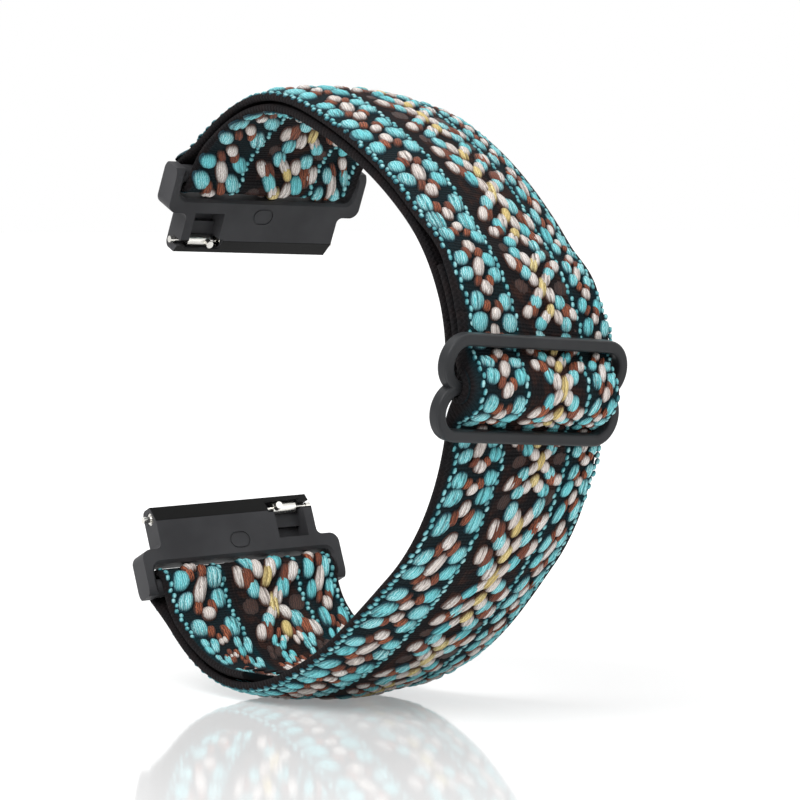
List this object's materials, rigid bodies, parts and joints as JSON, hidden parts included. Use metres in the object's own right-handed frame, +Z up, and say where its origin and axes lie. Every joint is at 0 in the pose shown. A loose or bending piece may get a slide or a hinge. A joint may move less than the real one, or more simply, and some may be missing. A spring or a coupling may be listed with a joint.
{
  "type": "watch strap",
  "caption": "Elastic woven watch strap bent into an open ring, with moulded quick release ends, spring bars and a slider that sets its length",
  "frame": {"origin": "centre of the wrist opening, on the ring's axis", "axes": "+X from the wrist opening's centre towards the slider, +Y along the ring's axis to the far rim, +Z up towards the upper connector's half"},
  "size_m": [0.0704, 0.0304, 0.0713],
  "materials": {
    "webbing": "woven",
    "thread": "matte",
    "black_metal": "satin",
    "black_plastic": "matte",
    "steel": "satin"
  },
  "bodies": {
    "band": {"upper_strap": "webbing", "lower_strap": "webbing", "upper_stretch_outer": "webbing", "upper_stretch_inner": "webbing", "lower_stretch": "webbing", "lower_stitching": "thread"},
    "slider": {"slider_crossing": "webbing", "slider_loop": "webbing", "slider_frame": "black_metal", "slider_stitching": "thread"},
    "upper_end": {"upper_connector": "black_plastic", "upper_bar_tube": "steel", "upper_fixed_tip": "steel", "upper_bar_spring": "steel"},
    "lower_end": {"lower_connector": "black_plastic", "lower_bar_tube": "steel", "lower_fixed_tip": "steel", "lower_bar_spring": "steel"},
    "upper_release": {"upper_sliding_tip": "steel", "upper_release_knob": "steel"},
    "lower_release": {"lower_sliding_tip": "steel", "lower_release_knob": "steel"}
  },
  "joints": [
    {"name": "slider_travel", "type": "hinge", "parent": "band", "child": "slider", "pos_m": [0.0092, 0, 0], "axis": [0, -0.9989, 0.0469], "range_deg": [-24, 15], "deforming": ["upper_stretch_outer", "upper_stretch_inner", "lower_stretch"]},
    {"name": "upper_swing", "type": "hinge", "parent": "band", "child": "upper_end", "pos_m": [-0.02241, 0.0012, 0.02544], "axis": [0.0186, -0.9994, 0.0285], "range_deg": [-20, 20]},
    {"name": "lower_swing", "type": "hinge", "parent": "band", "child": "lower_end", "pos_m": [-0.02421, -0.0011, -0.02341], "axis": [0.0397, 0.9983, 0.0423], "range_deg": [-20, 20]},
    {"name": "upper_release_slide", "type": "slide", "parent": "upper_end", "child": "upper_release", "axis": [-0.0186, 0.9994, -0.0285], "range_m": [0, 0.0012], "stiffness_N_per_m": 600, "springref_m": -0.001, "deforming": ["upper_bar_spring"]},
    {"name": "lower_release_slide", "type": "slide", "parent": "lower_end", "child": "lower_release", "axis": [-0.0397, -0.9983, -0.0423], "range_m": [0, 0.0012], "stiffness_N_per_m": 600, "springref_m": -0.001, "deforming": ["lower_bar_spring"]}
  ]
}
